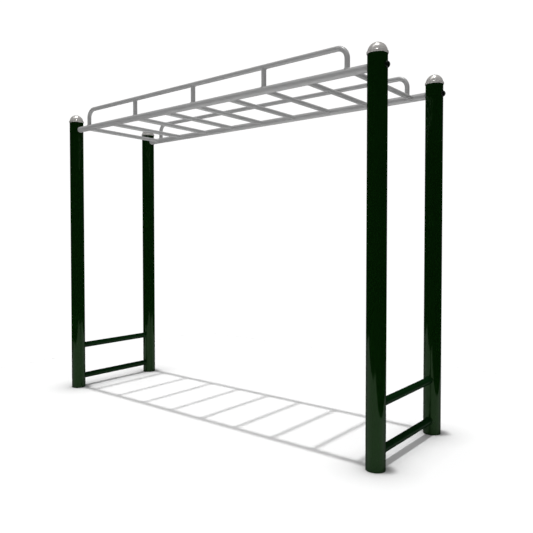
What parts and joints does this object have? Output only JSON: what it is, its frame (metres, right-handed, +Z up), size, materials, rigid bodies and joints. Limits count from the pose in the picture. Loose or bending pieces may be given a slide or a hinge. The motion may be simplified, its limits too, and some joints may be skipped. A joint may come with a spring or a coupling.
{
  "type": "monkey bars",
  "caption": "Free-standing overhead ladder for hanging and swinging hand over hand, with side guard rails, on four capped posts with low step crossbars.",
  "frame": {"origin": "on the ground, at the middle of the footprint of the four posts", "axes": "+X runs along the ladder from the left end to the right end, +Y across it from the front side to the back, +Z up"},
  "size_m": [3.0862, 0.918, 2.43],
  "materials": {
    "green_coat": "dark green gloss powder coat on steel",
    "silver_coat": "silver-grey satin powder coat on steel",
    "cap_metal": "polished cast aluminium",
    "cap_plastic": "gloss near-black moulded plastic",
    "fastener_steel": "zinc-plated steel"
  },
  "bodies": {
    "root": {"post_left_front": "green_coat", "foot_plate_left_front": "green_coat", "post_cap_left_front": "cap_metal", "rail_plug_left_front": "fastener_steel", "crush_sleeve_left_front": "fastener_steel", "post_left_back": "green_coat", "foot_plate_left_back": "green_coat", "post_cap_left_back": "cap_metal", "rail_plug_left_back": "fastener_steel", "crush_sleeve_left_back": "fastener_steel", "crossbar_left_low": "green_coat", "crossbar_left_high": "green_coat", "post_right_front": "green_coat", "foot_plate_right_front": "green_coat", "post_cap_right_front": "cap_metal", "rail_plug_right_front": "fastener_steel", "crush_sleeve_right_front": "fastener_steel", "post_right_back": "green_coat", "foot_plate_right_back": "green_coat", "post_cap_right_back": "cap_metal", "rail_plug_right_back": "fastener_steel", "crush_sleeve_right_back": "fastener_steel", "crossbar_right_low": "green_coat", "crossbar_right_high": "green_coat", "side_rail_front": "silver_coat", "guard_loop_front": "silver_coat", "guard_upright_front_1": "silver_coat", "guard_upright_front_2": "silver_coat", "guard_upright_front_3": "silver_coat", "side_rail_back": "silver_coat", "guard_loop_back": "silver_coat", "rung_1": "silver_coat", "rung_2": "silver_coat", "rung_3": "silver_coat", "rung_4": "silver_coat", "rung_5": "silver_coat", "rung_6": "silver_coat", "rung_7": "silver_coat", "rung_8": "silver_coat", "rung_9": "silver_coat", "rail_bolts": "fastener_steel", "bolt_washers": "fastener_steel", "bolt_cap_seats": "cap_plastic", "bolt_cap_domes": "cap_plastic"}
  },
  "joints": []
}
